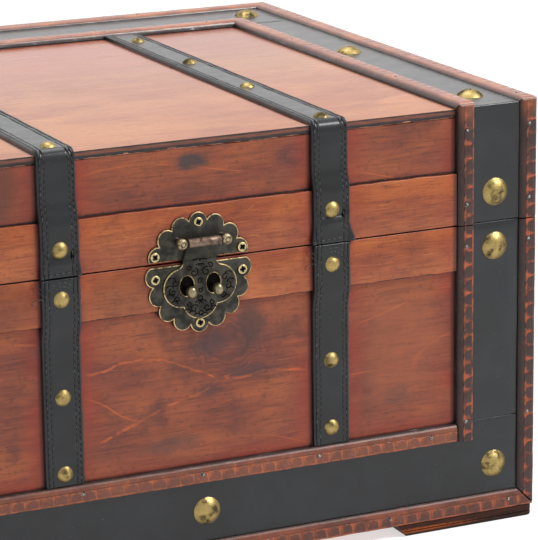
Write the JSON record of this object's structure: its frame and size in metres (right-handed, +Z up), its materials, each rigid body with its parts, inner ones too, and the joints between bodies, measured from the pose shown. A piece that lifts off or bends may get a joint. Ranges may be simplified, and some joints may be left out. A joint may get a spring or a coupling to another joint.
{
  "type": "wooden trunk",
  "caption": "Flat-topped wooden trunk with black leather bands, notched mouldings, dome nails, stitched straps and a hasp clasp.",
  "frame": {"origin": "on the floor under the middle of the trunk's bounding box", "axes": "+X to the right along the front, +Y from the front to the back, +Z up"},
  "size_m": [0.538, 0.458, 0.2979],
  "materials": {
    "stained_board": "red-brown stained and lacquered plywood",
    "batten_wood": "lighter orange-brown stained wood, lacquered",
    "notched_moulding": "red-brown stained moulding, notched along its outer half",
    "foot_wood": "dark brown stained wood",
    "black_leather": "smooth black leather with a fine grain",
    "stitched_leather": "black leather with two rows of black stitches at each edge",
    "antique_brass": "antique brass with dark patina",
    "silvered_brads": "dull silvered steel",
    "antique_bronze": "dark antique bronze, rubbed pale on the edges"
  },
  "bodies": {
    "base": {"base_back_batten": "batten_wood", "base_back_board": "stained_board", "base_back_bottom_moulding": "notched_moulding", "base_back_corner_mouldings": "notched_moulding", "base_band_nails": "antique_brass", "base_brads": "silvered_brads", "base_end_battens": "batten_wood", "base_end_beads": "notched_moulding", "base_end_bottom_mouldings": "notched_moulding", "base_floor_board": "stained_board", "base_front_batten": "batten_wood", "base_front_beads": "notched_moulding", "base_front_board": "stained_board", "base_front_bottom_moulding": "notched_moulding", "base_front_corner_mouldings": "notched_moulding", "base_leather_bands": "black_leather", "base_left_board": "stained_board", "base_left_strap": "stitched_leather", "base_right_board": "stained_board", "base_right_strap": "stitched_leather", "base_strap_nails": "antique_brass", "clasp_lower_plate": "antique_bronze", "clasp_lower_screws": "antique_bronze", "clasp_studs": "antique_bronze", "foot_back_left": "foot_wood", "foot_back_right": "foot_wood", "foot_front_left": "foot_wood", "foot_front_right": "foot_wood", "handle_left": "stitched_leather", "handle_nails": "antique_brass", "handle_right": "stitched_leather", "hinge_base_leaves": "antique_bronze", "hinge_base_screws": "antique_bronze", "hinge_pins": "antique_bronze"},
    "lid": {"clasp_pin": "antique_bronze", "clasp_upper_plate": "antique_bronze", "clasp_upper_screws": "antique_bronze", "hinge_lid_leaves": "antique_bronze", "hinge_lid_screws": "antique_bronze", "lid_back_batten": "batten_wood", "lid_back_board": "stained_board", "lid_back_corner_mouldings": "notched_moulding", "lid_back_top_moulding": "notched_moulding", "lid_band_nails": "antique_brass", "lid_brads": "silvered_brads", "lid_end_battens": "batten_wood", "lid_front_batten": "batten_wood", "lid_front_board": "stained_board", "lid_front_corner_mouldings": "notched_moulding", "lid_leather_bands": "black_leather", "lid_left_board": "stained_board", "lid_left_strap": "stitched_leather", "lid_right_board": "stained_board", "lid_right_strap": "stitched_leather", "lid_side_top_mouldings": "notched_moulding", "lid_strap_nails": "antique_brass", "lid_top_beads": "notched_moulding", "lid_top_board": "stained_board", "lid_upright_beads": "notched_moulding"},
    "hasp": {"hasp": "antique_bronze"}
  },
  "joints": [
    {"name": "lid_hinge", "type": "hinge", "parent": "base", "child": "lid", "pos_m": [0, 0.21999, 0.213], "axis": [-1, 0, 0], "range_deg": [0, 100]},
    {"name": "hasp_hinge", "type": "hinge", "parent": "lid", "child": "hasp", "pos_m": [0, -0.22611, 0.2274], "axis": [-1, 0, 0], "range_deg": [0, 150]}
  ]
}
